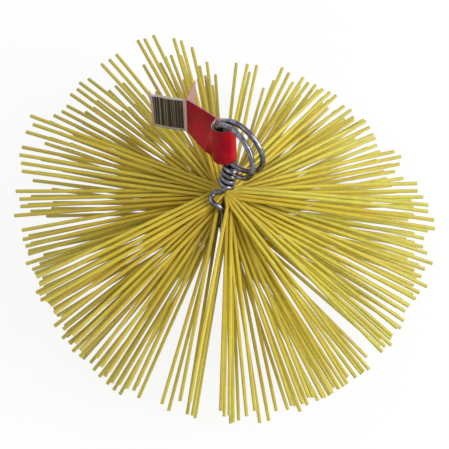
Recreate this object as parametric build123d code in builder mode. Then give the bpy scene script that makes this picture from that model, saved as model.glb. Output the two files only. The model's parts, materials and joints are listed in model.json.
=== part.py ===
from build123d import *
import math
import os
import random

# Chimney sweep brush: a star of stiff bristles gripped in the middle by a wire clasp.
# Millimetres. +Z is up the axis of the star, which stands on the tips of its lowest layer at Z = 0.
# Directions are in degrees round Z from +X. The rope eye opens along Y.

# Bristles
reach = 150.0
bristle_width = 2.2
layer_pitch = 2.75
layer_count = 14
bristles_per_side = 11
lowest_lift = -25.0
mean_top_lift = -5.0
top_tilt = 4.0
highest_side = 280.0
sweep_back_share = 0.8
sweep_axis = 315.0
sweep_lift = -8.0
steepest_skew = 27.0
fan_share = 0.1
reach_scatter_share = 0.04
foot_cut = 0.5

# Core, the pressed middle of the bundle
core_radius = 10.6
root_depth = 1.5
seat_clearance = 0.15

# Wire
wire_diameter = 3.6
side_clearance = 0.3
turn_gap = 0.55
clasp_side = 305.0
clasp_bend = 5.0
hook_side = 252.0
hook_turn = 48.0
hook_reach = 10.2
hook_clearance = 1.0
coil_turns = 4
coil_start = 76.0
coil_lift = 6.5
neck_lean = 36.0
neck_side = 110.0

# Rope eye, two turns of the wire, the second pulled flat where the label strip hangs
eye_radius = 18.5
eye_lean = 9.0
eye_shift = 3.4
eye_rise = 3.9
eye_splay = 5.4
early_splay_share = 0.33
eye_entry = 60.0
eye_flat_side = 50.0
eye_flat_share = 0.85
eye_end = 700.0
slope_step = 20.0
straight_enough = 1e-6

# Label strip, looped round both turns of the eye and stuck to itself along the run from the pinch
strip_width = 25.4
strip_thickness = 0.5
strip_place = 58.6
strip_inset = 3.9
strip_side_lean = 21.3
strip_back_lean = 9.1
strip_loop_radius = 7.5
strip_pinch_side = 177.6
strip_pinch_angle = 42.0
strip_run_length = 29.0
strip_run_side = 167.0
strip_front_length = 26.0
strip_front_side = 201.0
strip_back_length = 23.8
strip_back_side = 119.0

wire_radius = wire_diameter / 2
turn_pitch = wire_diameter + turn_gap
coil_length = turn_pitch * coil_turns + wire_diameter
leg_radius = core_radius + seat_clearance + wire_radius
leg_keepout = wire_radius + side_clearance + bristle_width / 2
leg_window = math.degrees(math.asin(leg_keepout / core_radius))
slot_step = (180 - 2 * leg_window) / (bristles_per_side - 1)
belly_height = clasp_bend - wire_radius - seat_clearance

lowest_drop = (reach - core_radius) * math.sin(math.radians(-lowest_lift))
lowest_root = lowest_drop + bristle_width / 2 * math.cos(math.radians(lowest_lift)) - foot_cut
core_bottom = lowest_root - layer_pitch / 2
core_top = core_bottom + layer_count * layer_pitch

# Bands of bundles round the star: first and last direction, and how many bundles between them.
# The white gaps of the star lie between the bands.
bands = (
    (358, 366, 4), (371, 373, 2), (378, 382, 2), (384, 390, 3), (392, 398, 3), (400, 405, 2),
    (408, 410, 2), (415, 422, 3), (427, 427, 1), (431, 435, 2), (438, 443, 3), (450, 457, 3),
    (462, 465, 2), (468, 468, 1), (472, 478, 3), (482, 482, 1), (488, 488, 1), (497, 504, 4),
    (507, 507, 1), (511, 515, 2), (518, 522, 2), (527, 532, 2), (534, 538, 2), (543, 546, 2),
    (550, 557, 3), (559, 564, 3), (570, 576, 3), (583, 587, 3), (594, 602, 4), (607, 613, 3),
    (616, 619, 2), (624, 631, 4), (638, 641, 2), (645, 648, 2), (650, 656, 3), (659, 664, 2),
    (671, 676, 3), (680, 680, 1), (684, 684, 1), (692, 697, 3), (701, 707, 3), (712, 716, 2),
)

# How far the top layer reaches in each direction, as a share of the full reach.
top_reach_shares = (
    (0, 1.00), (30, 1.00), (50, 0.93), (70, 0.86), (95, 0.80), (135, 0.78), (144, 0.82), (151, 0.98),
    (165, 1.03), (180, 1.03), (200, 1.02), (225, 0.98), (250, 0.94), (285, 0.93), (300, 0.96),
    (320, 1.00), (360, 1.00),
)

# The bundles are dealt to the layers out of turn, so that neighbours lie several layers apart.
deal_step = 5


def between(table, value):
    """The value of a table of (place, value) pairs, read between its entries."""
    for (first, low), (last, high) in zip(table, table[1:]):
        if value <= last:
            return low + (high - low) * (value - first) / (last - first)
    return table[-1][1]


def level_point(radius, direction, height):
    angle = math.radians(direction)
    return Vector(radius * math.cos(angle), radius * math.sin(angle), height)


def bundle_directions():
    """Every bundle's direction, once round the star."""
    directions = []
    for first, last, count in bands:
        for number in range(count):
            directions.append(first + (last - first) * (number + 0.5) / count)
    return directions


def bristle_lift(layer, direction):
    """The angle above the level of a bristle: the top layer tilts with the star, the lowest doesn't."""
    top = mean_top_lift + top_tilt * math.cos(math.radians(direction - highest_side))
    return top + (lowest_lift - top) * layer / (layer_count - 1)


def layer_bundles(layer):
    """The bundle directions of one layer, swept back the more the lower they hang."""
    swept = []
    for number, direction in enumerate(bundle_directions()):
        if number * deal_step % layer_count == layer:
            hang = sweep_lift - bristle_lift(layer, direction)
            turn = math.sin(math.radians(direction - sweep_axis))
            swept.append(direction + sweep_back_share * hang * turn)
    return swept


def nearest(values, wanted):
    """The value, whole turns aside, that lies nearest the wanted direction."""
    turned = [wanted + (value - wanted + 180) % 360 - 180 for value in values]
    return min(turned, key=lambda value: abs(value - wanted))


def layer_bristles(layer):
    """Each bristle of a layer: its slot and its direction, its lift and its length from the core."""
    scatter = random.Random(layer)
    bundles = layer_bundles(layer)
    last_layer = layer_count - 1
    bristles = []
    for side_start in (clasp_side, clasp_side + 180):
        for number in range(bristles_per_side):
            slot = side_start + leg_window + slot_step * number
            direction = nearest(bundles, slot)
            direction += fan_share * (slot - direction)
            direction = min(max(direction, slot - steepest_skew), slot + steepest_skew)
            direction = min(max(direction, side_start), side_start + 180)
            share = between(top_reach_shares, direction % 360)
            share += (1 - share) * layer / last_layer
            if layer < last_layer:
                share -= reach_scatter_share * scatter.random()
            lift = bristle_lift(layer, direction)
            bristles.append((slot, direction, lift, reach * share - core_radius))
    if layer == 0:
        bristles.pop()  # the hook dives through the last place of the top layer
    return bristles


def make_layer(layer):
    """One layer: a slice of the core with its bristles, each a straight rod from a level root."""
    height = core_top - layer_pitch * (layer + 0.5)
    half = bristle_width / 2
    lowest = layer == layer_count - 1
    rods = []
    for slot, direction, lift, length in layer_bristles(layer):
        along = level_point(1, direction, 0)
        root = Plane(level_point(core_radius, slot, height), x_dir=along, z_dir=along.cross(Vector(0, 0, 1)))
        slope = math.radians(lift)
        mitre = half * math.tan(slope / 2)
        tip = Vector(length * math.cos(slope), length * math.sin(slope))
        across = Vector(-half * math.sin(slope), half * math.cos(slope))
        with BuildPart(mode=Mode.PRIVATE) as rod:
            with BuildSketch(root):
                with BuildLine():
                    Polyline(
                        (-root_depth, -half),
                        (mitre, -half),
                        tip - across,
                        tip + across,
                        (-mitre, half),
                        (-root_depth, half),
                        close=True,
                    )
                make_face()
            extrude(amount=half, both=True)
        rods.append(rod.part)
    with BuildPart() as made:
        with BuildSketch(Plane.XY.offset(height - layer_pitch / 2)):
            Circle(core_radius)
        extrude(amount=layer_pitch)
        if lowest:
            with BuildSketch(Plane.XY.offset(height - layer_pitch / 2)):
                Circle(core_radius)
            extrude(amount=-belly_height)
            fillet(made.edges().group_by(Axis.Z)[0], radius=belly_height - seat_clearance)
        add(rods)
        if lowest:
            split(bisect_by=Plane.XY, keep=Keep.TOP)
    return made.part


def neck_frame():
    """The shank above the core: the point where its coil starts, its axis and two directions across it."""
    lean = math.radians(neck_lean)
    level = level_point(1, neck_side, 0)
    axis = level * math.sin(lean) + Vector(0, 0, math.cos(lean))
    right = level_point(1, neck_side - 90, 0)
    return Vector(0, 0, core_top + coil_lift), axis, right, axis.cross(right)


def on_shank(distance):
    start, axis, _, _ = neck_frame()
    return start + axis * distance


def eye_frame():
    """The middle of the eye, and the directions across it, up it and towards its front."""
    lean = math.radians(eye_lean)
    across = Vector(1, 0, 0)
    upright = Vector(0, math.sin(lean), math.cos(lean))
    middle = on_shank(coil_length + eye_rise) + upright * eye_radius + across * eye_shift
    return middle, across, upright, across.cross(upright)


def eye_offset(turned):
    """How far the wire stands towards the front of the eye, after it has turned this far from the neck."""
    table = (
        (0, 0), (270, 0), (360, turn_pitch), (450, turn_pitch),
        (540, turn_pitch + eye_splay * early_splay_share), (630, turn_pitch + eye_splay),
    )
    return between(table, turned)


def eye_stations():
    """The two turns of the eye, from the free end of the wire down to the neck."""
    middle, across, upright, front = eye_frame()
    stations = []
    flat_side = 360 + eye_flat_side
    for turned in (eye_entry, 90, 180, 270, 360, flat_side, 450, 540, 630, eye_end):
        radius = eye_radius * (eye_flat_share if turned == flat_side else 1)
        angle = math.radians(turned)
        outward = across * -math.sin(angle) - upright * math.cos(angle)
        forward = upright * math.sin(angle) - across * math.cos(angle)
        rise = eye_offset(turned + slope_step) - eye_offset(turned - slope_step)
        slope = rise / (2 * math.radians(slope_step) * eye_radius)
        point = middle + outward * radius + front * eye_offset(turned)
        stations.append((point, (forward + front * slope) * -1))
    return stations[::-1]


def shank_stations():
    """The shank down the middle of the coil, and the hook out of it that dives to the front leg."""
    _, axis, _, _ = neck_frame()
    hook_height = core_top + wire_radius + hook_clearance
    return [
        (on_shank(coil_length), axis * -1),
        (on_shank(0), axis * -1),
        (level_point(hook_reach, hook_side, hook_height), level_point(1, hook_side + hook_turn, 0)),
        (level_point(leg_radius, clasp_side, core_top - wire_radius), Vector(0, 0, -1)),
    ]


def clasp_stations():
    """The clasp: down the front of the core, under it and up its back."""
    under_level = core_bottom - clasp_bend
    bend_radius = leg_radius - clasp_bend
    front = level_point(1, clasp_side, 0)
    return [
        (level_point(leg_radius, clasp_side, core_bottom), Vector(0, 0, -1)),
        (front * bend_radius + Vector(0, 0, under_level), front * -1),
        (front * -bend_radius + Vector(0, 0, under_level), front * -1),
        (front * -leg_radius + Vector(0, 0, core_bottom), Vector(0, 0, 1)),
        (front * -leg_radius + Vector(0, 0, core_top - 2 * side_clearance), Vector(0, 0, 1)),
    ]


def coil_stations():
    """The other end of the wire, wound up round the shank in close turns."""
    _, axis, right, back = neck_frame()
    stations = []
    for quarter in range(4 * coil_turns + 1):
        angle = math.radians(coil_start - 90 * quarter)
        outward = right * math.cos(angle) + back * math.sin(angle)
        forward = right * math.sin(angle) - back * math.cos(angle)
        point = on_shank(turn_pitch * quarter / 4 + wire_radius) + outward * turn_pitch
        stations.append((point, forward + axis / (2 * math.pi)))
    return stations


def biarc(start, leaving, end, arriving):
    """The point and direction where two arcs meet that join two points smoothly."""
    chord = end - start
    pull = chord.dot(leaving + arriving)
    bend = 2 - 2 * leaving.dot(arriving)
    if bend > straight_enough ** 2:
        arm = (math.sqrt(pull * pull + bend * chord.dot(chord)) - pull) / bend
    else:
        arm = chord.dot(chord) / (2 * pull)
    first = start + leaving * arm
    last = end - arriving * arm
    return (first + last) * 0.5, (last - first).normalized()


def wire_arcs():
    """The whole route of the wire, as (start, end, direction at the start)."""
    stations = eye_stations() + shank_stations() + clasp_stations() + coil_stations()
    arcs = []
    for (start, leaving), (end, arriving) in zip(stations, stations[1:]):
        leaving = leaving.normalized()
        joint, onward = biarc(start, leaving, end, arriving.normalized())
        arcs.append((start, joint, leaving))
        arcs.append((joint, end, onward))
    return arcs


def wire_route():
    with BuildLine() as route:
        for start, end, direction in wire_arcs():
            if (end - start).cross(direction).length < straight_enough:
                Line(start, end)
            else:
                TangentArc(start, end, tangent=direction)
    return route.wire()


def make_wire(route):
    """One unbroken wire: the eye, the shank, the hook, the clasp and the coil."""
    start, _, direction = wire_arcs()[0]
    with BuildPart() as wire:
        with BuildSketch(Plane(start, z_dir=direction)):
            Circle(wire_radius)
        sweep(path=route)
    return wire.part


def in_strip(distance, side):
    angle = math.radians(side)
    return distance * math.cos(angle), distance * math.sin(angle)


def strip_plane():
    """The plane across the middle of the strip's loop, with its Z up the loop."""
    middle, across, upright, front = eye_frame()
    place = math.radians(strip_place)
    side_lean = math.radians(strip_side_lean)
    back_lean = math.radians(strip_back_lean)
    outward = across * -math.sin(place) - upright * math.cos(place)
    loop_middle = middle + outward * (eye_radius - strip_inset) + front * (turn_pitch / 2)
    in_eye = upright * math.cos(side_lean) - across * math.sin(side_lean)
    up_loop = in_eye * math.cos(back_lean) - front * math.sin(back_lean)
    level = across - up_loop * across.dot(up_loop)
    return Plane(loop_middle, x_dir=level, z_dir=up_loop)


def make_strip():
    """The label strip: a loop, its two halves stuck together from the pinch, and two free tails."""
    pinch_share = 1 / math.sin(math.radians(strip_pinch_angle))
    outer_radius = strip_loop_radius + strip_thickness
    round_side = 90 - strip_pinch_angle
    pinch = in_strip(strip_loop_radius * pinch_share, strip_pinch_side)
    run = in_strip(strip_run_length, strip_run_side)
    fold = (pinch[0] + run[0], pinch[1] + run[1])
    lengths = (
        (pinch, strip_run_length, strip_run_side, 2 * strip_thickness),
        (fold, strip_front_length, strip_front_side, strip_thickness),
        (fold, strip_back_length, strip_back_side, strip_thickness),
    )
    with BuildPart() as strip:
        with BuildSketch(strip_plane().offset(-strip_width / 2)):
            for radius, mode in ((outer_radius, Mode.ADD), (strip_loop_radius, Mode.SUBTRACT)):
                first = in_strip(radius, strip_pinch_side + round_side)
                last = in_strip(radius, strip_pinch_side - round_side)
                with BuildLine():
                    Polyline(last, in_strip(radius * pinch_share, strip_pinch_side), first)
                    ThreePointArc(first, in_strip(radius, strip_pinch_side + 180), last)
                make_face(mode=mode)
            for start, length, side, thickness in lengths:
                with Locations(Location((start[0], start[1], 0), (0, 0, side))):
                    Rectangle(length, thickness, align=(Align.MIN, Align.CENTER))
        extrude(amount=strip_width)
    return strip.part


def gap_to_itself(route):
    """The least gap between stretches of the wire that lie further apart along it than it can bend."""
    step = wire_radius / 4
    count = int(route.length / step)
    points = [tuple(route @ (number / count)) for number in range(count + 1)]
    apart = int(math.pi * wire_diameter / step)
    least = min(
        math.dist(point, other)
        for number, point in enumerate(points)
        for other in points[number + apart:]
    )
    return least - wire_diameter


def main():
    os.makedirs("parts", exist_ok=True)
    route = wire_route()
    print("gap of the wire to itself", round(gap_to_itself(route), 2))
    wire = make_wire(route)
    wire.label = "wire"
    export_step(wire, "parts/wire.step")
    strip = make_strip()
    strip.label = "label_strip"
    export_step(strip, "parts/label_strip.step")
    for layer in range(layer_count):
        made = make_layer(layer)
        made.label = f"bristle_layer_{layer + 1:02d}"
        export_step(made, f"parts/{made.label}.step")


if __name__ == "__main__":
    main()
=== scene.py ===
import json
import math
import random

import bmesh
import bpy
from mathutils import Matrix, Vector


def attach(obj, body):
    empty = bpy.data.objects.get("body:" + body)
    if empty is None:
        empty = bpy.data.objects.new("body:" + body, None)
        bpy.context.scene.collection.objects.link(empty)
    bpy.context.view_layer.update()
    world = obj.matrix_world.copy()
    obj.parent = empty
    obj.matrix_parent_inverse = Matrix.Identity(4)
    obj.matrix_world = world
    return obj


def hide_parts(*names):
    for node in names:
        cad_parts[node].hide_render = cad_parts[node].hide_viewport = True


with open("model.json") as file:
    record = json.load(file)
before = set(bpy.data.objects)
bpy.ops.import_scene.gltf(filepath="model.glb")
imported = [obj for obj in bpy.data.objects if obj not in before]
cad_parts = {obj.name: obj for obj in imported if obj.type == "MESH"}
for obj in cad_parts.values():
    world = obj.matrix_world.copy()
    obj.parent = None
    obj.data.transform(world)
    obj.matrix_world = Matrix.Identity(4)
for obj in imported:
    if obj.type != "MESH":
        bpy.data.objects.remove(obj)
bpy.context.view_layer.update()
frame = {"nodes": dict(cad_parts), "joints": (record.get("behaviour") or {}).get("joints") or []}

# Chimney sweep brush. Metres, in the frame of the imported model: +Z up the axis of the bristle star,
# which stands on the tips of its lowest layer at Z = 0. Directions are in degrees round Z from +X.

# The star of bristles, with the same values as the solids it stands for
reach = 0.150
layer_pitch = 0.00275
layer_count = 14
bristles_per_side = 11
lowest_lift = -25.0
mean_top_lift = -5.0
top_tilt = 4.0
highest_side = 280.0
sweep_back_share = 0.8
sweep_axis = 315.0
sweep_lift = -8.0
steepest_skew = 27.0
fan_share = 0.10
core_radius = 0.0106
clasp_side = 305.0
wire_diameter = 0.0036
side_clearance = 0.0003
solid_width = 0.0022
foot_cut = 0.0005

# What those solids leave out: softened edges, a slight bow, loose tips and the pressed inner lengths.
# The tips end a hair short of the solids' tips.
bristle_width = 0.0023
bristle_edge = 0.0006
bristle_steps = 6
bow_depth = 0.0022
least_bow_share = -0.2
inner_radius = 0.0006
inner_rise = 0.0006
fan_angle = 0.55
lift_scatter = 0.3
reach_scatter = 0.006
tip_clearance = 0.0005
# Painted light: strips pointing towards this side are tinted lighter and greener, by this share of their
# tint.
painted_light_side = 30.0
painted_light_share = 0.35

# Bands of bundles round the star: first and last direction, and how many bundles between them.
# The white gaps of the star lie between the bands.
bands = (
    (358, 366, 4), (371, 373, 2), (378, 382, 2), (384, 390, 3), (392, 398, 3), (400, 405, 2),
    (408, 410, 2), (415, 422, 3), (427, 427, 1), (431, 435, 2), (438, 443, 3), (450, 457, 3),
    (462, 465, 2), (468, 468, 1), (472, 478, 3), (482, 482, 1), (488, 488, 1), (497, 504, 4),
    (507, 507, 1), (511, 515, 2), (518, 522, 2), (527, 532, 2), (534, 538, 2), (543, 546, 2),
    (550, 557, 3), (559, 564, 3), (570, 576, 3), (583, 587, 3), (594, 602, 4), (607, 613, 3),
    (616, 619, 2), (624, 631, 4), (638, 641, 2), (645, 648, 2), (650, 656, 3), (659, 664, 2),
    (671, 676, 3), (680, 680, 1), (684, 684, 1), (692, 697, 3), (701, 707, 3), (712, 716, 2),
)

# How far the top layer reaches in each direction, as a share of the full reach
top_reach_shares = (
    (0, 1.00), (30, 1.00), (50, 0.93), (70, 0.86), (95, 0.80), (135, 0.78), (144, 0.82), (151, 0.98),
    (165, 1.03), (180, 1.03), (200, 1.02), (225, 0.98), (250, 0.94), (285, 0.93), (300, 0.96),
    (320, 1.00), (360, 1.00),
)

# The bundles are dealt to the layers out of turn, so that neighbours lie several layers apart
deal_step = 5

# The label strip, with the same values as the solid it stands for
strip_width = 0.0254
strip_thickness = 0.0005
strip_loop_radius = 0.0075
strip_pinch_side = 177.6
strip_pinch_angle = 42.0
strip_run_length = 0.029
strip_run_side = 167.0
strip_front_length = 0.026
strip_front_side = 201.0
strip_back_length = 0.0238
strip_back_side = 119.0

# What that solid leaves out: rounded folds, a twist along the strip, a bowed front tail and a lifted
# corner
pinch_bend = 0.0040
front_bend = 0.0034
back_bend = 0.0020
run_twist = 20.0
tail_twist = 2.0
front_bow = 0.0010
corner_lift = 0.0030
corner_length = 0.0070
strip_rows = 14
loop_steps = 32
straight_step = 0.0015

# The print of the strip, measured from the end of its front tail, and its bars from its middle line
bare_end = 0.0018
ink_start = 0.0100
bars_end = 0.0240
band_end = 0.0268
bars_half_height = 0.0110

middle_radius = strip_loop_radius + strip_thickness / 2
apex_distance = middle_radius / math.sin(math.radians(strip_pinch_angle))

leg_keepout = wire_diameter / 2 + side_clearance + solid_width / 2
leg_window = math.degrees(math.asin(leg_keepout / core_radius))
slot_step = (180 - 2 * leg_window) / (bristles_per_side - 1)
lowest_drop = (reach - core_radius) * math.sin(math.radians(-lowest_lift))
lowest_root = lowest_drop + solid_width / 2 * math.cos(math.radians(lowest_lift)) - foot_cut
core_top = lowest_root - layer_pitch / 2 + layer_count * layer_pitch

# The photograph's view: the side it comes from, its elevation, its distance from the top of the core,
# and its frame in pixels
view_side = -45.0
view_elevation = 66.0
view_distance = 0.700
frame_width = 449
focal_pixels = 1045
aim_column = 225
aim_row = 192


def between(table, value):
    """The value of a table of (place, value) pairs, read between its entries."""
    for (first, low), (last, high) in zip(table, table[1:]):
        if value <= last:
            return low + (high - low) * (value - first) / (last - first)
    return table[-1][1]


def level_direction(direction):
    """The level unit vector of a direction in degrees."""
    angle = math.radians(direction)
    return Vector((math.cos(angle), math.sin(angle), 0))


def finish_piece(form, name, material):
    """Turns a finished form into a named piece with its material."""
    mesh = bpy.data.meshes.new(name)
    form.to_mesh(mesh)
    form.free()
    mesh.materials.append(material)
    piece = bpy.data.objects.new(name, mesh)
    bpy.context.scene.collection.objects.link(piece)
    return piece


def bundle_directions():
    """Every bundle's direction, once round the star."""
    return [
        first + (last - first) * (number + 0.5) / count
        for first, last, count in bands
        for number in range(count)
    ]


def bristle_lift(layer, direction):
    """The angle above the level of a bristle: the top layer tilts with the star, the lowest doesn't."""
    top = mean_top_lift + top_tilt * math.cos(math.radians(direction - highest_side))
    return top + (lowest_lift - top) * layer / (layer_count - 1)


def layer_bundles(layer):
    """The bundle directions of one layer, swept back the more the lower they hang."""
    swept = []
    for number, direction in enumerate(bundle_directions()):
        if number * deal_step % layer_count == layer:
            hang = sweep_lift - bristle_lift(layer, direction)
            turn = math.sin(math.radians(direction - sweep_axis))
            swept.append(direction + sweep_back_share * hang * turn)
    return swept


def nearest(values, wanted):
    """The value, whole turns aside, that lies nearest the wanted direction."""
    turned = [wanted + (value - wanted + 180) % 360 - 180 for value in values]
    return min(turned, key=lambda value: abs(value - wanted))


def layer_bristles(layer):
    """Each bristle of a layer: its slot, direction, lift, and length from the edge of the core."""
    bundles = layer_bundles(layer)
    bristles = []
    for side_start in (clasp_side, clasp_side + 180):
        for number in range(bristles_per_side):
            slot = side_start + leg_window + slot_step * number
            direction = nearest(bundles, slot)
            direction += fan_share * (slot - direction)
            direction = min(max(direction, slot - steepest_skew), slot + steepest_skew)
            direction = min(max(direction, side_start), side_start + 180)
            share = between(top_reach_shares, direction % 360)
            share += (1 - share) * layer / (layer_count - 1)
            length = reach * share - core_radius
            bristles.append((slot, direction, bristle_lift(layer, direction), length))
    if layer == 0:
        bristles.pop()  # the hook dives through the last place of the top layer
    return bristles


def add_bristle(form, stations, side, tint_and_painted_light):
    """A square rod with softened edges along stations of (point, up direction, share of the reach)."""
    half = bristle_width / 2
    cut = half - bristle_edge
    corners = ((half, cut), (cut, half), (-cut, half), (-half, cut),
               (-half, -cut), (-cut, -half), (cut, -half), (half, -cut))
    tints_and_painted_light = form.faces.layers.float["bristle_tint_and_painted_light"]
    reached = form.verts.layers.float["bristle_reach"]
    rings = []
    for point, up, share in stations:
        ring = [form.verts.new(point + side * across + up * along) for across, along in corners]
        for vertex in ring:
            vertex[reached] = share
        rings.append(ring)
    faces = [form.faces.new(rings[0][::-1]), form.faces.new(rings[-1])]
    for ring, onward in zip(rings, rings[1:]):
        for number, corner in enumerate(ring):
            turned = (number + 1) % len(corners)
            faces.append(form.faces.new((corner, ring[turned], onward[turned], onward[number])))
    # Every face carries the strip's tint, its own tone mixed with painted light.
    for face in faces:
        face[tints_and_painted_light] = tint_and_painted_light


def cut_feet(form):
    """Cuts the lowest bristles off flat, where they stand."""
    everything = form.verts[:] + form.edges[:] + form.faces[:]
    cut = bmesh.ops.bisect_plane(form, geom=everything, plane_co=(0, 0, 0), plane_no=(0, 0, -1),
                                 clear_outer=True)
    rims = [edge for edge in cut["geom_cut"] if isinstance(edge, bmesh.types.BMEdge)]
    bmesh.ops.holes_fill(form, edges=rims)


def make_layer(layer, material):
    """One layer of bristles, from the middle of the pressed core to the cut tips."""
    scatter = random.Random(f"bristles {layer}")
    height = core_top - layer_pitch * (layer + 0.5)
    lowest = layer == layer_count - 1
    looseness = 0 if lowest else 1
    form = bmesh.new()
    form.faces.layers.float.new("bristle_tint_and_painted_light")
    form.verts.layers.float.new("bristle_reach")
    for slot, direction, lift, length in layer_bristles(layer):
        direction += scatter.uniform(-fan_angle, fan_angle) / 2
        length -= tip_clearance + looseness * reach_scatter * scatter.random()
        lift += looseness * scatter.uniform(-lift_scatter, lift_scatter)
        bow = looseness * bow_depth * scatter.uniform(least_bow_share, 1.0)
        along = level_direction(direction)
        side = along.cross(Vector((0, 0, 1)))
        slope = math.radians(lift)
        outward = along * math.cos(slope) + Vector((0, 0, math.sin(slope)))
        up = side.cross(outward)
        root = level_direction(slot) * core_radius + Vector((0, 0, height))
        inner = level_direction(slot) * inner_radius + Vector((0, 0, height))
        inner.z += looseness * inner_rise * scatter.random()
        stations = [(inner, Vector((0, 0, 1)), 0)]
        for step in range(bristle_steps + 1):
            share = step / bristle_steps
            point = root + outward * length * share + up * bow * 4 * share * (1 - share)
            stations.append((point, up, share))
        # Painted light: part of the tint grows lighter and greener the more the strip points towards the
        # lamps' side; the rest is its own random tone.
        painted_light_facing = (1 + math.cos(math.radians(direction - painted_light_side))) / 2
        tint_and_painted_light = scatter.random() * (1 - painted_light_share) + painted_light_facing * painted_light_share
        add_bristle(form, stations, side, tint_and_painted_light)
    if lowest:
        cut_feet(form)
    bmesh.ops.recalc_face_normals(form, faces=form.faces[:])
    return finish_piece(form, f"bristles_{layer + 1:02d}", material)


def in_strip(distance, side):
    """A point in the plane across the strip's loop."""
    angle = math.radians(side)
    return Vector((distance * math.cos(angle), distance * math.sin(angle)))


def bend(start, corner, end, steps=8):
    """Points along a smooth bend from start to end, drawn towards the corner between them."""
    points = []
    for step in range(steps + 1):
        share = step / steps
        points.append(start * (1 - share) ** 2 + corner * 2 * share * (1 - share) + end * share ** 2)
    return points


def rounded(before, corner, after, length):
    """The bend that rounds a corner, starting and ending this far from it."""
    start = corner + (before - corner).normalized() * length
    end = corner + (after - corner).normalized() * length
    return bend(start, corner, end)


def straight(start, end):
    """Points along a straight stretch, after its start."""
    steps = max(round((end - start).length / straight_step), 1)
    return [start.lerp(end, step / steps) for step in range(1, steps + 1)]


def strip_line():
    """The strip's line in that plane, from the end of its front tail round the loop to its other end."""
    apart = in_strip(strip_thickness / 2, strip_run_side + 90)
    apex = in_strip(apex_distance, strip_pinch_side)
    fold = apex + in_strip(strip_run_length, strip_run_side)
    front_end = fold + in_strip(strip_front_length, strip_front_side)
    back_end = fold + in_strip(strip_back_length, strip_back_side)
    first = strip_pinch_side + 90 - strip_pinch_angle
    turn_step = (180 + 2 * strip_pinch_angle) / loop_steps
    loop = [in_strip(middle_radius, first + turn_step * step) for step in range(loop_steps + 1)]
    front_fold = rounded(front_end, fold + apart, apex + apart, front_bend)
    front_pinch = rounded(fold + apart, apex + apart, loop[0], pinch_bend)
    back_pinch = rounded(loop[-1], apex - apart, fold - apart, pinch_bend)
    back_fold = rounded(apex - apart, fold - apart, back_end, back_bend)
    bulge = (front_end + front_fold[0]) / 2 + in_strip(2 * front_bow, strip_front_side + 90)
    line = bend(front_end, bulge, front_fold[0], steps=20)
    for onward in (front_fold, front_pinch, loop, back_pinch, back_fold, [back_end]):
        line += straight(line[-1], onward[0]) + onward[1:]
    return line


def along_line(line):
    """How far along the line each of its points lies."""
    places = [0.0]
    for point, onward in zip(line, line[1:]):
        places.append(places[-1] + (onward - point).length)
    return places


def strip_frames(line, places):
    """Each point of the strip's line, with the directions across the strip and out of its inner side."""
    joint = frame["joints"][0]
    middle = Vector(joint["pos_m"])
    up_loop = Vector(joint["axis"]).normalized()
    level = (Vector((1, 0, 0)) - up_loop * up_loop.x).normalized()
    forth = up_loop.cross(level)
    twists = (
        (middle_radius, 0), (apex_distance, run_twist), (apex_distance + strip_run_length, tail_twist),
    )
    frames = []
    for number, (point, place) in enumerate(zip(line, places)):
        before = line[max(number - 1, 0)]
        after = line[min(number + 1, len(line) - 1)]
        heading = (after - before).normalized()
        heading = level * heading.x + forth * heading.y
        twist = math.radians(between(twists, point.length))
        if place > places[-1] / 2:
            twist = -twist
        across = up_loop * math.cos(twist) - heading.cross(up_loop) * math.sin(twist)
        frames.append((middle + level * point.x + forth * point.y, across, across.cross(heading)))
    return frames


def add_sheet(form, frames, places, inner):
    """One side of the strip, as a row of points across it at each of its places.

    Its label_plain is 0 on the printed side, 1 on the inner side and 2 on the back tail.
    """
    along_layer = form.verts.layers.float["label_along"]
    across_layer = form.verts.layers.float["label_across"]
    plain_layer = form.verts.layers.float["label_plain"]
    rows = []
    for (point, across, inward), place in zip(frames, places):
        row = []
        for step in range(strip_rows + 1):
            height = strip_width * (step / strip_rows - 0.5)
            lifted = max(1 - place / corner_length, 0) ** 2 * max(2 * height / strip_width, 0) ** 2
            rise = corner_lift * lifted + strip_thickness * (0.5 - inner)
            vertex = form.verts.new(point + across * height - inward * rise)
            vertex[along_layer] = place
            vertex[across_layer] = height
            vertex[plain_layer] = 2 if place > places[-1] - strip_back_length else inner
            row.append(vertex)
        rows.append(row)
    for row, onward in zip(rows, rows[1:]):
        for step in range(strip_rows):
            form.faces.new((row[step], row[step + 1], onward[step + 1], onward[step]))
    return [row[0] for row in rows], [row[-1] for row in rows], rows[0], rows[-1]


def make_label(material):
    """The label strip as a thin sheet: its loop, its pinch, its bowed front tail and its back tail."""
    line = strip_line()
    places = along_line(line)
    frames = strip_frames(line, places)
    form = bmesh.new()
    for layer in ("label_along", "label_across", "label_plain"):
        form.verts.layers.float.new(layer)
    outer_rims = add_sheet(form, frames, places, inner=0)
    inner_rims = add_sheet(form, frames, places, inner=1)
    for outer, inner in zip(outer_rims, inner_rims):
        for number in range(len(outer) - 1):
            form.faces.new((outer[number], outer[number + 1], inner[number + 1], inner[number]))
    bmesh.ops.recalc_face_normals(form, faces=form.faces[:])
    for face in form.faces:
        face.smooth = True
    return finish_piece(form, "label", material)


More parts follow.
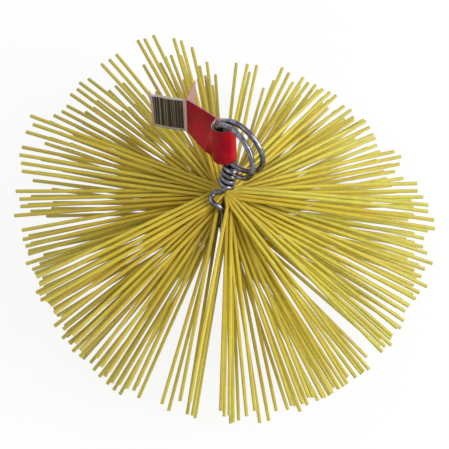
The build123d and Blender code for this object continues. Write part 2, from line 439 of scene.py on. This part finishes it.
class Workbench:
    """The nodes of one material or node group, with short ways to add and join them."""

    def __init__(self, tree):
        self.nodes = tree.nodes
        self.links = tree.links

    def feed(self, socket, value):
        """Joins a socket to another node's output, or sets its plain value."""
        if isinstance(value, bpy.types.NodeSocket):
            self.links.new(value, socket)
        else:
            socket.default_value = value

    def attribute(self, name):
        """A value that the mesh carries."""
        node = self.nodes.new("ShaderNodeAttribute")
        node.attribute_name = name
        return node.outputs["Fac"]

    def place(self):
        """The place on the object, in metres."""
        return self.nodes.new("ShaderNodeTexCoord").outputs["Object"]

    def noise(self, place, scale, detail=3.0):
        """Cloudy noise from nought to one."""
        node = self.nodes.new("ShaderNodeTexNoise")
        self.feed(node.inputs["Vector"], place)
        self.feed(node.inputs["Scale"], scale)
        node.inputs["Detail"].default_value = detail
        return node.outputs["Fac"]

    def line_noise(self, place, scale):
        """Plain noise along one measure only, which gives bars across it."""
        node = self.nodes.new("ShaderNodeTexNoise")
        node.noise_dimensions = "1D"
        self.feed(node.inputs["W"], place)
        self.feed(node.inputs["Scale"], scale)
        node.inputs["Detail"].default_value = 0.0
        return node.outputs["Fac"]

    def work_out(self, operation, first, second=0.0):
        """A sum, comparison or other operation on one or two values."""
        node = self.nodes.new("ShaderNodeMath")
        node.operation = operation
        self.feed(node.inputs[0], first)
        self.feed(node.inputs[1], second)
        return node.outputs["Value"]

    def spread(self, value, low, high, to_low=0.0, to_high=1.0):
        """The value's place between low and high, given as a number from to_low to to_high."""
        node = self.nodes.new("ShaderNodeMapRange")
        self.feed(node.inputs["Value"], value)
        self.feed(node.inputs["From Min"], low)
        self.feed(node.inputs["From Max"], high)
        self.feed(node.inputs["To Min"], to_low)
        self.feed(node.inputs["To Max"], to_high)
        return node.outputs["Result"]

    def ramp(self, value, *stops, steps=False):
        """A colour ramp from (place, colour) stops."""
        node = self.nodes.new("ShaderNodeValToRGB")
        node.color_ramp.interpolation = "CONSTANT" if steps else "LINEAR"
        elements = node.color_ramp.elements
        while len(elements) < len(stops):
            elements.new(1.0)
        for element, (place, colour) in zip(elements, stops):
            element.position = place
            element.color = (*colour, 1)
        self.feed(node.inputs["Fac"], value)
        return node.outputs["Color"]

    def blend(self, share, first, second):
        """The first colour with a share of the second over it."""
        node = self.nodes.new("ShaderNodeMix")
        node.data_type = "RGBA"
        self.feed(node.inputs["Factor"], share)
        self.feed(node.inputs["A"], first)
        self.feed(node.inputs["B"], second)
        return node.outputs["Result"]

    def bump(self, height, depth, strength):
        """The normal of a surface that is roughened by a height, this deep in metres."""
        node = self.nodes.new("ShaderNodeBump")
        self.feed(node.inputs["Height"], height)
        node.inputs["Distance"].default_value = depth
        node.inputs["Strength"].default_value = strength
        return node.outputs["Normal"]

    def seen_ray(self):
        """One for a ray of the camera, a reflection or glass, and nought for the other rays."""
        paths = self.nodes.new("ShaderNodeLightPath")
        seen = self.work_out("MAXIMUM", paths.outputs["Is Camera Ray"], paths.outputs["Is Glossy Ray"])
        return self.work_out("MAXIMUM", seen, paths.outputs["Is Transmission Ray"])


def new_material(name):
    """A new material, with the workbench of its nodes and its shader."""
    material = bpy.data.materials.new(name)
    material.use_nodes = True
    return material, Workbench(material.node_tree), material.node_tree.nodes["Principled BSDF"]


def soot_and_scuffs():
    """A group that darkens a colour in cloudy patches and gives a fine uneven height for the bump."""
    group = bpy.data.node_groups.new("soot_and_scuffs", "ShaderNodeTree")
    face = group.interface
    face.new_socket("Color", in_out="INPUT", socket_type="NodeSocketColor")
    face.new_socket("Soot", in_out="INPUT", socket_type="NodeSocketFloat")
    face.new_socket("Patches", in_out="INPUT", socket_type="NodeSocketFloat")
    face.new_socket("Grain", in_out="INPUT", socket_type="NodeSocketFloat")
    face.new_socket("Color", in_out="OUTPUT", socket_type="NodeSocketColor")
    face.new_socket("Height", in_out="OUTPUT", socket_type="NodeSocketFloat")
    bench = Workbench(group)
    entry = group.nodes.new("NodeGroupInput")
    leave = group.nodes.new("NodeGroupOutput")
    place = bench.place()
    patches = bench.noise(place, entry.outputs["Patches"], detail=2.0)
    grain = bench.noise(place, entry.outputs["Grain"], detail=4.0)
    share = bench.work_out("MULTIPLY", bench.spread(patches, 0.42, 0.68), entry.outputs["Soot"])
    soot_colour = (0.10, 0.075, 0.03, 1)
    bench.feed(leave.inputs["Color"], bench.blend(share, entry.outputs["Color"], soot_colour))
    bench.feed(leave.inputs["Height"], grain)
    return group


def worn(bench, group, colour, soot, patches, grain):
    """Places the group of soot and scuffs in a material and returns its colour and height."""
    node = bench.nodes.new("ShaderNodeGroup")
    node.node_tree = group
    bench.feed(node.inputs["Color"], colour)
    bench.feed(node.inputs["Soot"], soot)
    bench.feed(node.inputs["Patches"], patches)
    bench.feed(node.inputs["Grain"], grain)
    return node.outputs["Color"], node.outputs["Height"]


def bristle_plastic(wear):
    """Moulded strips from golden to yellow-green, partly each one's own tint and partly painted light on
    the side towards the lamps; painted shade browns them at the core.
    """
    material, bench, shader = new_material("bristle_plastic")
    painted_core_shade_colour = (0.50, 0.28, 0.006, 1)
    tip_colour = (0.50, 0.49, 0.13, 1)
    streak_colour = (0.42, 0.28, 0.02, 1)
    # The tint ramp, each strip's own tone mixed with painted light, runs from darker golden to lighter
    # yellow-green.
    own_tint_and_painted_light = bench.ramp(
        bench.attribute("bristle_tint_and_painted_light"),
        (0.0, (0.55, 0.38, 0.022)), (0.35, (0.66, 0.51, 0.036)),
        (0.7, (0.69, 0.58, 0.058)), (1.0, (0.70, 0.66, 0.095)),
    )
    reached = bench.attribute("bristle_reach")
    # Painted shade: the strips darken to brown towards the core, where they crowd together.
    with_core_shade = bench.blend(bench.spread(reached, 0.35, 0.0, to_high=0.45), own_tint_and_painted_light, painted_core_shade_colour)
    tipped = bench.blend(bench.spread(reached, 0.55, 1.0, to_high=0.40), with_core_shade, tip_colour)
    streaks = bench.noise(bench.place(), scale=240, detail=4)
    streaked = bench.blend(bench.spread(streaks, 0.35, 0.65, 0.25, 0.0), tipped, streak_colour)
    colour, height = worn(bench, wear, streaked, soot=0.15, patches=38.0, grain=900.0)
    bench.feed(shader.inputs["Base Color"], colour)
    bench.feed(shader.inputs["Roughness"], bench.spread(streaks, 0.3, 0.7, 0.34, 0.52))
    bench.feed(shader.inputs["Normal"], bench.bump(height, depth=0.0003, strength=0.14))
    shader.inputs["Specular IOR Level"].default_value = 0.4
    return material


def galvanised_wire(wear):
    """Drawn wire with a zinc coat: dark and cool, with cloudy patches that are partly zinc spangle and
    partly painted reflection, bright where it catches the lamp.
    """
    material, bench, shader = new_material("galvanised_wire")
    clouds = bench.noise(bench.place(), scale=260, detail=5)
    # Partly painted reflection: the cloudy patches run from dark to light zinc to stand in for
    # reflections as well as spangle.
    zinc_and_painted_reflection = bench.ramp(
        clouds,
        (0.34, (0.070, 0.068, 0.098)), (0.48, (0.130, 0.132, 0.165)),
        (0.58, (0.210, 0.208, 0.245)), (0.72, (0.380, 0.385, 0.400)),
    )
    colour, height = worn(bench, wear, zinc_and_painted_reflection, soot=0.30, patches=120.0, grain=1400.0)
    bench.feed(shader.inputs["Base Color"], colour)
    shader.inputs["Metallic"].default_value = 1.0
    bench.feed(shader.inputs["Roughness"], bench.spread(clouds, 0.3, 0.7, 0.15, 0.28))
    bench.feed(shader.inputs["Normal"], bench.bump(height, depth=0.0002, strength=0.22))
    return material


def printed_label(wear):
    """Film with red, a pale band and uneven bars on its front tail, and plain pink where unprinted."""
    material, bench, shader = new_material("printed_label")
    ink_colour = (0.035, 0.025, 0.012, 1)
    margin_colour = (0.56, 0.50, 0.44, 1)
    band_colour = (0.60, 0.42, 0.33, 1)
    end_colour = (0.60, 0.36, 0.33, 1)
    inner_colour = (0.60, 0.44, 0.41, 1)
    tail_colour = (0.42, 0.24, 0.20, 1)
    along = bench.attribute("label_along")
    edge = bench.work_out("ABSOLUTE", bench.attribute("label_across"))
    bars = bench.ramp(
        bench.line_noise(along, scale=400),
        (0.0, (0.045, 0.032, 0.014)), (0.44, (0.120, 0.098, 0.055)),
        (0.52, (0.270, 0.235, 0.160)), (0.60, (0.070, 0.052, 0.026)), steps=True,
    )
    inked = bench.blend(bench.spread(along, ink_start, bars_end, to_high=0.55), bars, ink_colour)
    field = bench.blend(bench.work_out("GREATER_THAN", edge, bars_half_height), inked, margin_colour)
    banded = bench.blend(bench.work_out("GREATER_THAN", along, bars_end), field, band_colour)
    red = bench.ramp(
        bench.noise(bench.place(), scale=70),
        (0.35, (0.29, 0.001, 0.006)), (0.65, (0.47, 0.002, 0.016)),
    )
    front = bench.blend(bench.work_out("GREATER_THAN", along, band_end), banded, red)
    ended = bench.blend(bench.work_out("LESS_THAN", along, bare_end), front, end_colour)
    side = bench.attribute("label_plain")
    plain = bench.spread(side, 0.4, 0.6)
    inner = bench.blend(plain, ended, inner_colour)
    both = bench.blend(bench.spread(side, 1.4, 1.6), inner, tail_colour)
    colour, height = worn(bench, wear, both, soot=0.10, patches=90.0, grain=700.0)
    bench.feed(shader.inputs["Base Color"], colour)
    bench.feed(shader.inputs["Roughness"], bench.spread(plain, 0.0, 1.0, 0.24, 0.55))
    bench.feed(shader.inputs["Normal"], bench.bump(height, depth=0.0004, strength=0.10))
    shader.inputs["Specular IOR Level"].default_value = 0.08
    return material


def floor_paper():
    """A pale studio floor: white when seen, apart from a faint shadow, and plain paper to the light."""
    material, bench, shader = new_material("floor_paper")
    white_share = 0.88
    shader.inputs["Base Color"].default_value = (0.92, 0.92, 0.92, 1)
    shader.inputs["Roughness"].default_value = 0.9
    white = bench.nodes.new("ShaderNodeEmission")
    white.inputs["Color"].default_value = (1, 1, 1, 1)
    mixed = bench.nodes.new("ShaderNodeMixShader")
    bench.feed(mixed.inputs["Fac"], bench.work_out("MULTIPLY", bench.seen_ray(), white_share))
    bench.feed(mixed.inputs[1], shader.outputs["BSDF"])
    bench.feed(mixed.inputs[2], white.outputs["Emission"])
    bench.feed(bench.nodes["Material Output"].inputs["Surface"], mixed.outputs["Shader"])
    return material


def make_floor():
    """A square floor just below the tips that the brush stands on."""
    half_width = 3.0
    level = -0.0002
    form = bmesh.new()
    corners = ((-1, -1), (1, -1), (1, 1), (-1, 1))
    form.faces.new([form.verts.new((x * half_width, y * half_width, level)) for x, y in corners])
    finish_piece(form, "floor", floor_paper())


def add_lamp(name, place, width, height, power):
    """An oval soft lamp that faces the brush."""
    lamp = bpy.data.lights.new(name, "AREA")
    lamp.shape = "ELLIPSE"
    lamp.size = width
    lamp.size_y = height
    lamp.energy = power
    holder = bpy.data.objects.new(name, lamp)
    holder.location = place
    holder.rotation_mode = "QUATERNION"
    holder.rotation_quaternion = (Vector((0, 0, core_top)) - Vector(place)).to_track_quat("-Z", "Y")
    bpy.context.scene.collection.objects.link(holder)


def add_camera():
    """The photograph's view, aimed at the top of the core."""
    elevation = math.radians(view_elevation)
    back = level_direction(view_side) * math.cos(elevation) + Vector((0, 0, math.sin(elevation)))
    lens_camera = bpy.data.cameras.new("camera")
    lens_camera.lens = lens_camera.sensor_width * focal_pixels / frame_width
    lens_camera.shift_x = (frame_width / 2 - aim_column) / frame_width
    lens_camera.shift_y = (aim_row - frame_width / 2) / frame_width
    holder = bpy.data.objects.new("camera", lens_camera)
    holder.location = Vector((0, 0, core_top)) + back * view_distance
    holder.rotation_mode = "QUATERNION"
    holder.rotation_quaternion = (-back).to_track_quat("-Z", "Y")
    bpy.context.scene.collection.objects.link(holder)
    bpy.context.scene.camera = holder


def set_world():
    """White behind the object and in its reflections, and a plain soft light on it."""
    world = bpy.data.worlds.new("studio")
    bpy.context.scene.world = world
    world.use_nodes = True
    bench = Workbench(world.node_tree)
    seen = bench.nodes.new("ShaderNodeBackground")
    seen.inputs["Color"].default_value = (1, 1, 1, 1)
    lit = bench.nodes["Background"]
    lit.inputs["Color"].default_value = (0.95, 0.97, 1.0, 1)
    lit.inputs["Strength"].default_value = 0.5
    choice = bench.nodes.new("ShaderNodeMixShader")
    bench.feed(choice.inputs["Fac"], bench.seen_ray())
    bench.feed(choice.inputs[1], lit.outputs["Background"])
    bench.feed(choice.inputs[2], seen.outputs["Background"])
    bench.feed(bench.nodes["World Output"].inputs["Surface"], choice.outputs["Shader"])


def main():
    bpy.context.scene.view_settings.view_transform = "Standard"
    wear = soot_and_scuffs()
    plastic = bristle_plastic(wear)
    for layer in range(layer_count):
        piece = make_layer(layer, plastic)
        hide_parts(f"bristle_layer_{layer + 1:02d}")
        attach(piece, "brush")
    label = make_label(printed_label(wear))
    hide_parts("label_strip")
    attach(label, "label")
    frame["nodes"]["wire"].material_slots[0].material = galvanised_wire(wear)
    make_floor()
    set_world()
    add_lamp("key_lamp", (0.70, 0.75, 1.25), width=0.9, height=0.9, power=7)
    add_lamp("side_lamp", (1.21, 0.75, 0.83), width=0.9, height=1.2, power=17)
    add_lamp("fill_lamp", (-0.9, -0.7, 1.2), width=1.2, height=1.2, power=3)
    add_camera()


main()
